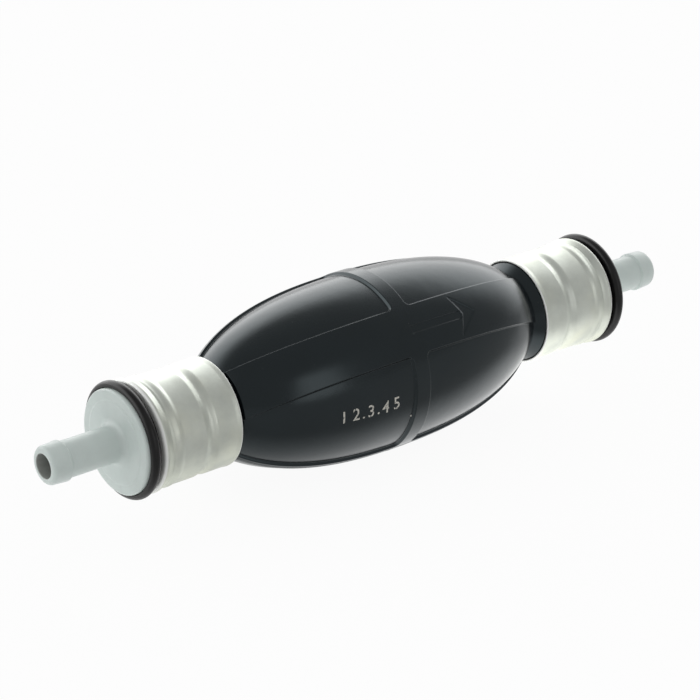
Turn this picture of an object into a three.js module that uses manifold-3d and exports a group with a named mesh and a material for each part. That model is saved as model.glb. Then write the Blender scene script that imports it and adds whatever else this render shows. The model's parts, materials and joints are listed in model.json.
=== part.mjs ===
// A hand-squeezed siphon bulb pump: a ribbed rubber bulb between two hose fittings,
// each clamped in the bulb's neck by a crimped metal sleeve, with a one-way poppet
// valve inside each fitting. Liquid enters at -X, leaves at +X.
// Millimetres, +Z up. The origin is midway between the tips, on the pump's axis.
import * as THREE from "three";
import { mergeVertices } from "three/addons/utils/BufferGeometryUtils.js";
import Module from "manifold-3d";

const wasm = await Module();
wasm.setup();

// ---- Driving dimensions ----

// Clearances
const fitClearance = 0.1; // radial, between pieces that hold each other
const seatClearance = 0.1; // axial, between faces that meet
const slideClearance = 0.15; // radial, between the valve stem and its guide
const wallClearance = 0.4; // around each squeeze wall

// Rubber bulb
const bulbRadius = 20; // over the raised strips, at mid-length
const bulbHalfLength = 40.35; // centre to the start of the neck
const bulbEndRadius = 10.4; // over the raised strips, at the start of the neck
const bulbFullness = 2.4; // exponent of the dome: 2 is an ellipse, more is fuller
const bulbWall = 3; // rubber thickness under the recessed panels
const panelDepth = 0.65; // panels below strips and ribs
const stripWidth = 10.5; // two wide strips along the bulb, opposite each other
const ribWidth = 1.5; // two narrow ribs halfway between them, on the mould's parting line
const raisedCount = 4; // strips and ribs, alternating round the bulb
const firstStripAngle = 141; // degrees about X, from +Y towards +Z
const bandWidth = 3.5; // raised belt at mid-length
const bulbShift = -0.6; // bulb's centre, along the pump's axis

// Neck of the bulb, widening towards the sleeve
const neckRadius = 9.5; // at the end of the dome
const neckLength = 1.65; // from the dome to the sleeve's mouth, the mean of both ends
const neckBoreRadius = 8;

// Flow arrow engraved in the first strip
const arrowShaftLength = 14.2; // from the bulb's centre
const arrowShaftWidth = 1.8;
const arrowHeadLength = 5.6;
const arrowHeadWidth = 9.2;
const arrowHeadSweep = 1.6; // the head's corners, back from the end of the shaft
const arrowDepth = 0.4;

// Squeeze walls: the parts of the bulb under the thumb, at the front, and under the fingers
const squeezeWallLength = 48;
const squeezeWallWidth = 18.5;
const squeezeWallCorner = 6;

// Crimped sleeves
const sleeveLength = 19.6;
const sleeveRadius = 11.7;
const sleeveThickness = 0.5;
const crimpPlace = 7.5; // from the sleeve's mouth
const crimpHalfWidth = 1.7;
const crimpDepth = 0.45;
const beadPlace = 15.4; // from the sleeve's mouth
const beadHalfWidth = 1.2;
const beadHeight = 0.2;
const mouthFlare = 0.15;
const rimFlare = 0.5;
const flareLength = 1.4;
const rimEdgeRadius = 0.8; // the rim is rolled over into the lip
const lipRadius = 10.2; // inside of the lip turned in at the rim

// Collar rings
const collarRadius = 12.6; // over its round bead
const collarLength = 3.1;
const collarBeadRadius = 1.1; // of the bead's section
const collarNeckRadius = 10.3; // between the sleeve and the bead

// Hose fittings
const flangeRadius = 11.25;
const flangeProud = 0.95; // flange face in front of the collar ring
const flangeSunk = 1.5; // flange depth inside the collar ring
const flangeEdgeRadius = 0.5;
const flangeFilletRadius = 1.6; // where the hose tail leaves the flange
const tailLength = 17.05; // flange face to tip
const tailRadius = 3.9;
const tailBoreRadius = 2.6;
const barbRadius = 4.35;
const barbPlace = 4.2; // crest of the barb, back from the tip
const barbBackLength = 0.35;
const noseRadius = 4.15; // behind the rounded edge of the tip
const noseEdgeRadius = 1.05;
const barrelInset = 2; // barrel's end, in from the sleeve's mouth
const chamberRadius = 5.6;
const chamberLength = 16;

// Barrel seals
const sealPlace = 10; // groove centre, from the sleeve's mouth
const sealSection = 0.9; // diameter of the rubber section

// Valve cartridges, from the seat towards +X
const seatLength = 2.2;
const seatBoreRadius = 2.8;
const seatLipRadius = 3.5;
const seatLipWidth = 0.7;
const seatLipHeight = 0.4;
const discRadius = 4.4;
const discLength = 1.3;
const discSealLength = 0.8;
const buttonRadius = 2.2; // the poppet's head, which keeps the disc seal on
const buttonLength = 0.8;
const buttonNeckRadius = 1.6;
const stemRadius = 1.2;
const stemEngagement = 0.8; // stem's end inside the guide when the valve is shut
const guideRadius = 3; // hub of the retainer
const retainerLength = 1.6;
const retainerRimWidth = 1;
const retainerArmCount = 3;
const retainerArmWidth = 1.4;
const springRadius = 2.3; // centre of the coil to centre of the wire
const wireDiameter = 0.5;
const springTurns = 5;

// Facets
const roundFacets = 28;
const valveFacets = 20;
const wireFacets = 6;
const stepsPerTurn = 8;
const domeSteps = 7;
const arcSteps = 2;

// ---- Derived places, from the origin along X ----

const sleeveMouthX = bulbHalfLength + neckLength;

// Places measured from the sleeve's mouth, away from the bulb
const flarePlace = sleeveLength - rimEdgeRadius;
const collarPlace = sleeveLength + seatClearance;
const collarEndPlace = collarPlace + collarLength;
const flangeBackPlace = collarEndPlace - flangeSunk;
const flangeFacePlace = collarEndPlace + flangeProud;
const tipPlace = flangeFacePlace + tailLength;
const chamberEndPlace = barrelInset + chamberLength;

const barrelRadius = neckBoreRadius - fitClearance;
const valveRadius = chamberRadius - fitClearance;
const valveLength = chamberLength - 2 * seatClearance;

// ---- Solids ----

const radians = THREE.MathUtils.degToRad;

// A closed geometry as a solid that can be joined and cut.
function solid(geometry) {
  const bare = geometry.clone();
  bare.deleteAttribute("normal");
  bare.deleteAttribute("uv");
  const merged = mergeVertices(bare);
  return new wasm.Manifold(
    new wasm.Mesh({
      numProp: 3,
      vertProperties: merged.attributes.position.array,
      triVerts: new Uint32Array(merged.index.array),
    }),
  );
}

// A solid as a geometry with flat-shaded facets.
function geometryOf(body) {
  const mesh = body.getMesh();
  const indexed = new THREE.BufferGeometry();
  indexed.setAttribute("position", new THREE.BufferAttribute(mesh.vertProperties, 3));
  indexed.setIndex(new THREE.BufferAttribute(mesh.triVerts, 1));
  const geometry = indexed.toNonIndexed();
  geometry.computeVertexNormals();
  return geometry;
}

// Points given as [x, radius] turned about the X axis, with a flat facet at the bottom.
function turned(points, facets = roundFacets) {
  const outline = points.map(([x, radius]) => new THREE.Vector2(radius, x));
  const halfFacet = Math.PI / facets;
  return new THREE.LatheGeometry(outline, facets, halfFacet).rotateZ(-Math.PI / 2);
}

// A ring: a closed outline of [x, radius] points turned about the X axis.
function turnedRing(points, facets = roundFacets) {
  return turned([...points, points[0]], facets);
}

// Points [x, radius] of a quarter circle about a centre, from one angle to another.
function arc(x, radius, arcRadius, fromDegrees, toDegrees, steps = arcSteps) {
  const points = [];
  for (let i = 0; i <= steps; i++) {
    const angle = radians(fromDegrees + ((toDegrees - fromDegrees) * i) / steps);
    points.push([x + arcRadius * Math.cos(angle), radius + arcRadius * Math.sin(angle)]);
  }
  return points;
}

// 1 at the centre, 0 beyond the half width, smooth between.
function bump(distance, halfWidth) {
  const t = Math.min(Math.abs(distance) / halfWidth, 1);
  return 0.5 + 0.5 * Math.cos(Math.PI * t);
}

// ---- Rubber bulb: x is measured from the bulb's centre ----

// Radius of the dome at x, over the raised strips.
function domeRadius(x) {
  const endShare = (bulbEndRadius / bulbRadius) ** 2;
  const domeReach = bulbHalfLength / (1 - endShare) ** (1 / bulbFullness);
  return bulbRadius * Math.sqrt(1 - (Math.abs(x) / domeReach) ** bulbFullness);
}

// The dome, sunk by inset and at least as wide as its least radius, as [x, radius] points.
function domeOutline(inset, leastRadius = 0) {
  const points = [];
  for (let i = -domeSteps; i <= domeSteps; i++) {
    // The steps are finer towards the ends, where the dome curves most.
    const x = bulbHalfLength * Math.sin((Math.PI / 2) * (i / domeSteps));
    points.push([x, Math.max(domeRadius(x) - inset, leastRadius)]);
  }
  return points;
}

// A dome closed by flat ends, sunk by inset.
function domeSolid(inset) {
  return solid(turned([[-bulbHalfLength, 0], ...domeOutline(inset), [bulbHalfLength, 0]]));
}

// The neck and the cuff inside the sleeve and its lip, from the dome outwards, as on the
// +X side, for a sleeve whose mouth is at mouthX.
function neckOutline(mouthX) {
  const points = [[bulbHalfLength, neckRadius]];
  const shoulder = sleeveLength - sleeveThickness - seatClearance;
  for (const [place, radius] of sleeveOutline(sleeveThickness + fitClearance, shoulder)) {
    points.push([mouthX + place, radius]);
  }
  points.push([mouthX + shoulder, lipRadius - fitClearance]);
  points.push([mouthX + sleeveLength, lipRadius - fitClearance]);
  return points;
}

// The same outline on the -X side, running inwards.
function mirrored(points) {
  return points.map(([x, radius]) => [-x, radius]).reverse();
}

function bulbStrips() {
  const reach = bulbRadius + bulbWall;
  const belt = new THREE.BoxGeometry(bandWidth, 2 * reach, 2 * reach);
  let strips = solid(belt);
  for (let i = 0; i < raisedCount; i++) {
    const width = i % 2 === 0 ? stripWidth : ribWidth;
    const strip = new THREE.BoxGeometry(2 * bulbHalfLength, reach, width);
    strip.translate(0, reach / 2, 0);
    strip.rotateX(radians(firstStripAngle + (360 / raisedCount) * i));
    strips = strips.add(solid(strip));
  }
  return strips;
}

function bulbOutside() {
  const inletNeck = mirrored(neckOutline(sleeveMouthX + bulbShift));
  const outletNeck = neckOutline(sleeveMouthX - bulbShift);
  const panels = solid(
    turned([
      [inletNeck.at(0)[0], 0],
      ...inletNeck,
      ...domeOutline(panelDepth),
      ...outletNeck,
      [outletNeck.at(-1)[0], 0],
    ]),
  );
  return panels.add(domeSolid(0).intersect(bulbStrips()));
}

function bulbInside() {
  const end = sleeveMouthX + sleeveLength + bulbWall;
  return solid(
    turned([
      [-end, 0],
      [-end, neckBoreRadius],
      ...domeOutline(panelDepth + bulbWall, neckBoreRadius),
      [end, neckBoreRadius],
      [end, 0],
    ]),
  );
}

function flowArrow() {
  const headBack = arrowShaftLength - arrowHeadSweep;
  const outline = new THREE.Shape([
    new THREE.Vector2(0, -arrowShaftWidth / 2),
    new THREE.Vector2(arrowShaftLength, -arrowShaftWidth / 2),
    new THREE.Vector2(headBack, -arrowHeadWidth / 2),
    new THREE.Vector2(headBack + arrowHeadLength, 0),
    new THREE.Vector2(headBack, arrowHeadWidth / 2),
    new THREE.Vector2(arrowShaftLength, arrowShaftWidth / 2),
    new THREE.Vector2(0, arrowShaftWidth / 2),
  ]);
  const arrow = new THREE.ExtrudeGeometry(outline, {
    depth: bulbRadius + bulbWall,
    bevelEnabled: false,
  });
  arrow.rotateX(radians(firstStripAngle - 90));
  return solid(arrow).subtract(domeSolid(arrowDepth));
}

// A round-cornered block over the wall on one side, which faces the given angle about X.
function squeezeBlock(angle, margin) {
  const halfLength = squeezeWallLength / 2 + margin;
  const halfWidth = squeezeWallWidth / 2 + margin;
  const corner = squeezeWallCorner + margin;
  const outline = new THREE.Shape();
  outline.absarc(halfLength - corner, halfWidth - corner, corner, 0, Math.PI / 2);
  outline.absarc(corner - halfLength, halfWidth - corner, corner, Math.PI / 2, Math.PI);
  outline.absarc(corner - halfLength, corner - halfWidth, corner, Math.PI, 1.5 * Math.PI);
  outline.absarc(halfLength - corner, corner - halfWidth, corner, 1.5 * Math.PI, 2 * Math.PI);
  const block = new THREE.ExtrudeGeometry(outline, {
    depth: bulbRadius + bulbWall,
    bevelEnabled: false,
    curveSegments: arcSteps,
  });
  return solid(block.rotateX(radians(angle - 90)));
}

function bulbPieces() {
  const thumbAngle = firstStripAngle + 180 / raisedCount;
  const fingerAngle = thumbAngle + 180;
  const whole = bulbOutside().subtract(flowArrow()).subtract(bulbInside());
  return {
    shell: whole
      .subtract(squeezeBlock(thumbAngle, wallClearance))
      .subtract(squeezeBlock(fingerAngle, wallClearance)),
    thumbWall: whole.intersect(squeezeBlock(thumbAngle, 0)),
    fingerWall: whole.intersect(squeezeBlock(fingerAngle, 0)),
  };
}

// ---- Ends: x is measured from the sleeve's mouth, away from the bulb ----

// The sleeve's outside, sunk by inset, as [x, radius] points from its mouth to a given end.
function sleeveOutline(inset, end) {
  const places = [
    0,
    flareLength,
    crimpPlace - crimpHalfWidth,
    crimpPlace,
    crimpPlace + crimpHalfWidth,
    beadPlace - beadHalfWidth,
    beadPlace,
    beadPlace + beadHalfWidth,
    flarePlace - flareLength,
    flarePlace,
    end,
  ];
  const within = new Set(places.map((place) => Math.min(place, end)));
  const points = [];
  for (const x of [...within].sort((a, b) => a - b)) {
    const crimp = crimpDepth * bump(x - crimpPlace, crimpHalfWidth);
    const bead = beadHeight * bump(x - beadPlace, beadHalfWidth);
    const mouth = mouthFlare * bump(x, flareLength);
    const rim = rimFlare * bump(flarePlace - x, flareLength);
    points.push([x, sleeveRadius - crimp + bead + mouth + rim - inset]);
  }
  return points;
}

// A thin tube whose rim is rolled over into a lip.
function sleeve() {
  const lipBack = sleeveLength - sleeveThickness;
  const rimCentre = sleeveRadius + rimFlare - rimEdgeRadius;
  return turnedRing([
    ...sleeveOutline(0, flarePlace).slice(0, -1),
    ...arc(flarePlace, rimCentre, rimEdgeRadius, 90, 0),
    [sleeveLength, lipRadius],
    [lipBack, lipRadius],
    ...sleeveOutline(sleeveThickness, lipBack).reverse(),
  ]);
}

// A short neck and a round bead; the fitting's flange sits in its recess.
function collarRing() {
  const beadCentre = collarEndPlace - collarBeadRadius;
  const beadRing = collarRadius - collarBeadRadius;
  return turnedRing([
    [collarPlace, neckBoreRadius],
    [collarPlace, collarNeckRadius],
    [beadCentre - collarBeadRadius, collarNeckRadius],
    ...arc(beadCentre, beadRing, collarBeadRadius, 180, 0, 2 * arcSteps),
    [collarEndPlace, flangeRadius + fitClearance],
    [flangeBackPlace - seatClearance, flangeRadius + fitClearance],
    [flangeBackPlace - seatClearance, neckBoreRadius],
  ]);
}

// Hose tail with its barb, flange, and a barrel that holds the valve.
function fitting() {
  const crest = tipPlace - barbPlace;
  const filletCentre = flangeFacePlace + flangeFilletRadius;
  const grooveRadius = barrelRadius - sealSection - fitClearance;
  const grooveHalfLength = sealSection / 2 + seatClearance;
  return turnedRing([
    [barrelInset, chamberRadius],
    [barrelInset, barrelRadius],
    [sealPlace - grooveHalfLength, barrelRadius],
    [sealPlace - grooveHalfLength, grooveRadius],
    [sealPlace + grooveHalfLength, grooveRadius],
    [sealPlace + grooveHalfLength, barrelRadius],
    [flangeBackPlace, barrelRadius],
    [flangeBackPlace, flangeRadius],
    ...arc(flangeFacePlace - flangeEdgeRadius, flangeRadius - flangeEdgeRadius, flangeEdgeRadius, 90, 0),
    ...arc(filletCentre, tailRadius + flangeFilletRadius, flangeFilletRadius, 180, 270),
    [crest - barbBackLength, tailRadius],
    [crest, barbRadius],
    ...arc(tipPlace - noseEdgeRadius, noseRadius - noseEdgeRadius, noseEdgeRadius, 90, 0),
    [tipPlace, tailBoreRadius],
    [chamberEndPlace, tailBoreRadius],
    [chamberEndPlace, chamberRadius],
  ]);
}

function barrelSeal() {
  const section = arc(sealPlace, barrelRadius - sealSection / 2, sealSection / 2, 180, -120, 5);
  return turnedRing(section);
}

// ---- Valve cartridge: x is measured from the back of the seat, in the flow's direction ----

const discSealPlace = seatLength + seatLipHeight + seatClearance;
const discPlace = discSealPlace + discSealLength + seatClearance;
const discEndPlace = discPlace + discLength;
const retainerPlace = valveLength - retainerLength;

function valveSeat() {
  return turnedRing(
    [
      [0, seatBoreRadius],
      [0, valveRadius],
      [seatLength, valveRadius],
      [seatLength, seatLipRadius + seatLipWidth / 2],
      [seatLength + seatLipHeight, seatLipRadius + seatLipWidth / 2],
      [seatLength + seatLipHeight, seatLipRadius - seatLipWidth / 2],
      [seatLength, seatLipRadius - seatLipWidth / 2],
      [seatLength, seatBoreRadius],
    ],
    valveFacets,
  );
}

function discSeal() {
  return turnedRing(
    [
      [discSealPlace, buttonNeckRadius + fitClearance],
      [discSealPlace, discRadius],
      [discSealPlace + discSealLength, discRadius],
      [discSealPlace + discSealLength, buttonNeckRadius + fitClearance],
    ],
    valveFacets,
  );
}

// Button, neck, disc and guided stem in one piece.
function poppet() {
  const buttonEnd = discSealPlace - seatClearance;
  const stemEnd = retainerPlace + stemEngagement;
  return turned(
    [
      [buttonEnd - buttonLength, 0],
      [buttonEnd - buttonLength, buttonRadius],
      [buttonEnd, buttonRadius],
      [buttonEnd, buttonNeckRadius],
      [discPlace, buttonNeckRadius],
      [discPlace, discRadius],
      [discEndPlace, discRadius],
      [discEndPlace, stemRadius],
      [stemEnd, stemRadius],
      [stemEnd, 0],
    ],
    valveFacets,
  );
}

// Rim, arms and a hub that guides the stem.
function retainer() {
  const rimInside = valveRadius - retainerRimWidth;
  const guideBore = stemRadius + slideClearance;
  const end = valveLength;
  const rim = [
    [retainerPlace, rimInside],
    [retainerPlace, valveRadius],
    [end, valveRadius],
    [end, rimInside],
  ];
  const hub = [
    [retainerPlace, guideBore],
    [retainerPlace, guideRadius],
    [end, guideRadius],
    [end, guideBore],
  ];
  let body = solid(turnedRing(rim, valveFacets)).add(solid(turnedRing(hub, valveFacets)));
  const armStart = (guideBore + guideRadius) / 2;
  const armEnd = (rimInside + valveRadius) / 2;
  for (let i = 0; i < retainerArmCount; i++) {
    const arm = new THREE.BoxGeometry(retainerLength, armEnd - armStart, retainerArmWidth);
    arm.translate((retainerPlace + end) / 2, (armStart + armEnd) / 2, 0);
    arm.rotateX(radians((360 / retainerArmCount) * i));
    body = body.add(solid(arm));
  }
  return geometryOf(body);
}

// The centre line of the wire.
class SpringLine extends THREE.Curve {
  constructor(start, end) {
    super();
    this.start = start;
    this.end = end;
  }

  getPoint(t, target = new THREE.Vector3()) {
    const angle = 2 * Math.PI * springTurns * t;
    const x = this.start + (this.end - this.start) * t;
    return target.set(x, springRadius * Math.cos(angle), springRadius * Math.sin(angle));
  }
}

function spring() {
  const endMargin = wireDiameter / 2 + seatClearance;
  const line = new SpringLine(discEndPlace + endMargin, retainerPlace - endMargin);
  const section = new THREE.Shape();
  section.absarc(0, 0, wireDiameter / 2, 0, 2 * Math.PI);
  return new THREE.ExtrudeGeometry(section, {
    extrudePath: line,
    steps: springTurns * stepsPerTurn,
    curveSegments: wireFacets / 2,
  });
}

// ---- Materials ----

function surface(color, roughness, metalness) {
  return new THREE.MeshStandardMaterial({ color, roughness, metalness });
}

const bulbRubber = () => surface(0x202226, 0.32, 0);
const sealRubber = () => surface(0x161617, 0.55, 0);
const sleeveMetal = () => surface(0xc9cac3, 0.38, 1);
const fittingPlastic = () => surface(0xc0cac8, 0.45, 0);
const valvePlastic = () => surface(0xe6e6df, 0.4, 0);
const springSteel = () => surface(0xb4b7ba, 0.3, 1);

// ---- Assembly ----

function piece(name, geometry, material) {
  const mesh = new THREE.Mesh(geometry, material);
  mesh.name = name;
  return mesh;
}

function bulb() {
  const group = new THREE.Group();
  group.position.x = bulbShift;
  const { shell, thumbWall, fingerWall } = bulbPieces();
  group.add(piece("bulb_shell", geometryOf(shell), bulbRubber()));
  group.add(piece("thumb_wall", geometryOf(thumbWall), bulbRubber()));
  group.add(piece("finger_wall", geometryOf(fingerWall), bulbRubber()));
  return group;
}

function end(side) {
  const group = new THREE.Group();
  group.add(piece(side + "_sleeve", sleeve(), sleeveMetal()));
  group.add(piece(side + "_collar_ring", collarRing(), sealRubber()));
  group.add(piece(side + "_fitting", fitting(), fittingPlastic()));
  group.add(piece(side + "_barrel_seal", barrelSeal(), sealRubber()));
  return group;
}

function valve(side) {
  const group = new THREE.Group();
  group.add(piece(side + "_valve_seat", valveSeat(), valvePlastic()));
  group.add(piece(side + "_disc_seal", discSeal(), sealRubber()));
  group.add(piece(side + "_poppet", poppet(), valvePlastic()));
  group.add(piece(side + "_spring", spring(), springSteel()));
  group.add(piece(side + "_spring_retainer", retainer(), valvePlastic()));
  return group;
}

const pump = new THREE.Group();
pump.add(bulb());

const outletEnd = end("outlet");
outletEnd.position.x = sleeveMouthX;
pump.add(outletEnd);

const inletEnd = end("inlet");
inletEnd.position.x = -sleeveMouthX;
inletEnd.rotation.z = Math.PI;
pump.add(inletEnd);

// Both valves open towards +X: the outlet's seat is at the barrel's mouth, the inlet's at its foot.
const outletValve = valve("outlet");
outletValve.position.x = sleeveMouthX + barrelInset + seatClearance;
pump.add(outletValve);

const inletValve = valve("inlet");
inletValve.position.x = -(sleeveMouthX + chamberEndPlace) + seatClearance;
pump.add(inletValve);

export default pump;
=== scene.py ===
"""A hand-squeezed siphon bulb pump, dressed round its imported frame.

Metres, +Z up, X along the flow. The origin is midway between the tips, on the pump's axis.
Angles round the pump are measured about X, from +Y towards +Z.
"""
import json
import math

import bmesh
import bpy
import numpy as np
from bpy.props import FloatProperty, FloatVectorProperty, PointerProperty, StringProperty
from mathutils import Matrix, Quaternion, Vector


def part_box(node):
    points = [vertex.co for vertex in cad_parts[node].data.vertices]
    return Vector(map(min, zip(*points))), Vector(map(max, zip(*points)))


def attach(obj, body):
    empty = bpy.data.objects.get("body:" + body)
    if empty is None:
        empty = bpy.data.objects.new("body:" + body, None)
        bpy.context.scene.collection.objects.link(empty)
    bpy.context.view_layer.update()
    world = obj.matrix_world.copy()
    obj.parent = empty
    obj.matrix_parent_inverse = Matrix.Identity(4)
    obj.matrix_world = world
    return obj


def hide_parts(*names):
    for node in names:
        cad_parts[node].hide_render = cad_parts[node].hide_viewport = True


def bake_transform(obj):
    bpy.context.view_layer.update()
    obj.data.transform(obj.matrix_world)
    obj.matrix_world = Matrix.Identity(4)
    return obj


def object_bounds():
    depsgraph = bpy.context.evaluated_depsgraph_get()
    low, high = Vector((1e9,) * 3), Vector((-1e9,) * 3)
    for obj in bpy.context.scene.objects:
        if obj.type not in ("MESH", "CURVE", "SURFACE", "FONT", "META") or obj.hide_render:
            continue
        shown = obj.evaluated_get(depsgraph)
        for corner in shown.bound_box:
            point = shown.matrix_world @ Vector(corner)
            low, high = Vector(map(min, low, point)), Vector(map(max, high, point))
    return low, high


bl_info = {
    "name": "Siphon bulb pump",
    "version": (1, 0, 0),
    "blender": (4, 5, 0),
    "location": "3D View > Sidebar > Pump",
    "description": "Makes the rubber bulb, sleeves, fittings and finishes of a siphon bulb pump",
    "category": "Object",
}

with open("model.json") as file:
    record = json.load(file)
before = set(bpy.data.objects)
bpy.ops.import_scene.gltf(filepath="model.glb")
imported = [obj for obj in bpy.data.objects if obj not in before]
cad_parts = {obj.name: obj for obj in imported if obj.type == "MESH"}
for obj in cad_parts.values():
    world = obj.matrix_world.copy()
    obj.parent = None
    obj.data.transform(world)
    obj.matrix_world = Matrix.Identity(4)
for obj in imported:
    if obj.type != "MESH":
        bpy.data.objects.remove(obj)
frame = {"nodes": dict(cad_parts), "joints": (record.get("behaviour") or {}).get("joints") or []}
CAD_BOX = [list(corner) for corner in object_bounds()]
MM = 0.001


def joint(name):
    return next(j for j in frame["joints"] if j["name"] == name)


# The thumb presses along this direction, so the thumb wall faces the other way.
PRESS = np.array(joint("thumb_wall_press")["axis"])
THUMB_ANGLE = math.atan2(-PRESS[2], -PRESS[1])


def span(node, side):
    """Distances from the origin to a node's near and far ends along X, on one side."""
    low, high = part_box(node)
    return sorted((side * low.x, side * high.x))


SLEEVE_MOUTH, SLEEVE_RIM = span("outlet_sleeve", 1)
COLLAR_NEAR, COLLAR_FAR = span("outlet_collar_ring", 1)
BARREL_END, TIP = span("outlet_fitting", 1)
BULB_MIDDLE = sum(span("thumb_wall", 1)) / 2
SIDES = {"inlet": -1, "outlet": 1}


# ---- Sizes and colours that a user may change ----


def length(name, description, default):
    return FloatProperty(
        name=name,
        description=description,
        default=default,
        min=0.0,
        precision=5,
        subtype="DISTANCE",
        unit="LENGTH",
    )


def colour(name, description, default):
    return FloatVectorProperty(
        name=name, description=description, default=default, min=0.0, max=1.0, size=3, subtype="COLOR"
    )


class PumpBulbSizes(bpy.types.PropertyGroup):
    radius: length("Radius", "Over the raised strips at mid-length", 20 * MM)
    half_length: length("Half length", "Centre to the start of the neck", 40.35 * MM)
    end_radius: length("End radius", "Over the strips where the neck starts", 10.4 * MM)
    fullness: FloatProperty(
        name="Fullness", description="Exponent of the dome: 2 is an ellipse, more is fuller", default=2.4
    )
    wall: length("Wall", "Rubber under the panels", 3 * MM)
    relief: length("Relief", "Panels below strips", 0.65 * MM)
    strip_width: length("Strip width", "Across each of the two wide strips", 10.5 * MM)
    rib_width: length("Rib width", "Across each of the two ribs on the mould's parting line", 1.5 * MM)
    flash: length("Flash", "Height of the fine seam along each rib", 0.05 * MM)
    belt_width: length("Belt width", "Along the raised belt at mid-length", 3.5 * MM)
    panel_corner: length("Panel corner", "Corner radius of a recessed panel beside the belt", 1.3 * MM)
    step_width: length("Step width", "Run of the step between strip and panel", 0.5 * MM)
    neck_radius: length("Neck radius", "At the end of the dome", 9.5 * MM)
    mouth_radius: length("Mouth radius", "Neck where it enters the sleeve", 11.2 * MM)
    cuff_radius: length("Cuff radius", "Rubber cuff inside the sleeve", 10.75 * MM)
    cuff_end_radius: length("Cuff end radius", "End of the cuff inside the sleeve's lip", 10.1 * MM)
    bore_radius: length("Neck bore", "Inside of the neck", 8 * MM)


class PumpArrowSizes(bpy.types.PropertyGroup):
    shaft_length: length("Shaft length", "From the bulb's centre", 14.2 * MM)
    shaft_width: length("Shaft width", "Across the shaft", 1.8 * MM)
    head_length: length("Head length", "Corners of the head to its point", 5.6 * MM)
    head_width: length("Head width", "Across the head", 9.2 * MM)
    head_sweep: length("Head sweep", "Corners of the head, back from the shaft's end", 1.6 * MM)
    depth: length("Depth", "Depth of the engraving", 0.22 * MM)


class PumpNumeralSizes(bpy.types.PropertyGroup):
    text: StringProperty(
        name="Numerals", description="Plain numbers inked on the thumb wall", default="12.3.45"
    )
    height: length("Height", "Height of a numeral", 2.8 * MM)
    pitch: length("Pitch", "Middle of one numeral to the next", 2.89 * MM)
    point_pitch: length("Point pitch", "Middle of a numeral to a point beside it", 1.83 * MM)
    start: length("Start", "Middle of the first numeral, from the origin to the inlet", 20.5 * MM)
    drop: length("Drop", "Foot of the numerals below the thumb wall's centre line", 0.45 * MM)
    ink: length("Ink", "Thickness of the ink", 0.03 * MM)


class PumpSleeveSizes(bpy.types.PropertyGroup):
    radius: length("Radius", "Outside of the plain sleeve", 11.7 * MM)
    wall: length("Wall", "Thickness of the sheet", 0.5 * MM)
    crimp_place: length("Crimp place", "Middle of the crimp, from the mouth", 7.5 * MM)
    crimp_width: length("Crimp width", "Half width of the crimp", 1.7 * MM)
    crimp_depth: length("Crimp depth", "Depth of the crimp", 0.45 * MM)
    bead_place: length("Bead place", "Middle of the bead, from the mouth", 15.4 * MM)
    bead_width: length("Bead width", "Half width of the bead", 1.2 * MM)
    bead_height: length("Bead height", "Height of the bead", 0.2 * MM)
    mouth_flare: length("Mouth flare", "Turned-out edge at the mouth", 0.15 * MM)
    rim_flare: length("Rim flare", "Turned-out rim beside the collar ring", 0.5 * MM)
    flare_length: length("Flare length", "Length of each flare", 1.4 * MM)
    edge_radius: length("Edge radius", "Of the rim, rolled over into the lip", 0.8 * MM)
    crease_place: length("Crease place", "Middle of the crease before the rim, from the mouth", 17.2 * MM)
    crease_width: length("Crease width", "Half width of the crease", 0.4 * MM)
    crease_depth: length("Crease depth", "Depth of the crease", 0.12 * MM)
    lip_radius: length("Lip radius", "Inside of the lip turned in at the rim", 10.2 * MM)


class PumpCollarSizes(bpy.types.PropertyGroup):
    radius: length("Radius", "Over the round bead", 12.6 * MM)
    bead_radius: length("Bead radius", "Of the bead's section", 1.1 * MM)
    neck_radius: length("Neck radius", "Between the sleeve and the bead", 10.3 * MM)
    bore_radius: length("Bore radius", "Round the fitting's barrel", 8 * MM)


class PumpFittingSizes(bpy.types.PropertyGroup):
    flange_radius: length("Flange radius", "Outside of the flange", 11.25 * MM)
    flange_proud: length("Flange proud", "Flange face in front of the collar ring", 0.95 * MM)
    flange_sunk: length("Flange sunk", "Flange depth inside the collar ring", 1.5 * MM)
    fillet: length("Fillet", "Where the hose tail leaves the flange", 1.6 * MM)
    tail_radius: length("Tail radius", "Outside of the hose tail", 3.9 * MM)
    bore_radius: length("Bore radius", "Bore of the hose tail", 2.6 * MM)
    barb_radius: length("Barb radius", "Over the barb", 4.35 * MM)
    barb_place: length("Barb place", "Crest of the barb, back from the tip", 4.2 * MM)
    nose_radius: length("Nose radius", "Behind the rounded edge of the tip", 4.15 * MM)
    nose_edge: length("Nose edge", "Rounding of the tip's edge", 1.05 * MM)
    barrel_radius: length("Barrel radius", "Outside of the barrel in the neck", 7.9 * MM)
    chamber_radius: length("Chamber radius", "Inside of the valve chamber", 5.6 * MM)
    chamber_length: length("Chamber length", "Length of the valve chamber", 16 * MM)


class PumpColours(bpy.types.PropertyGroup):
    bulb: colour("Bulb", "Moulded rubber of the bulb", (0.0024, 0.0036, 0.0045))
    seal: colour("Seals", "Rubber of the collar rings and seals", (0.0042, 0.0041, 0.0042))
    sleeve: colour("Sleeves", "Drawn metal", (0.70, 0.735, 0.675))
    fitting: colour("Fittings", "Moulded hose fittings", (0.605, 0.675, 0.65))
    valve: colour("Valve", "Moulded valve pieces", (0.78, 0.78, 0.73))
    spring: colour("Springs", "Spring wire", (0.56, 0.55, 0.53))
    ink: colour("Ink", "Inked numerals", (0.62, 0.6, 0.54))


# ---- Shader graphs ----


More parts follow.
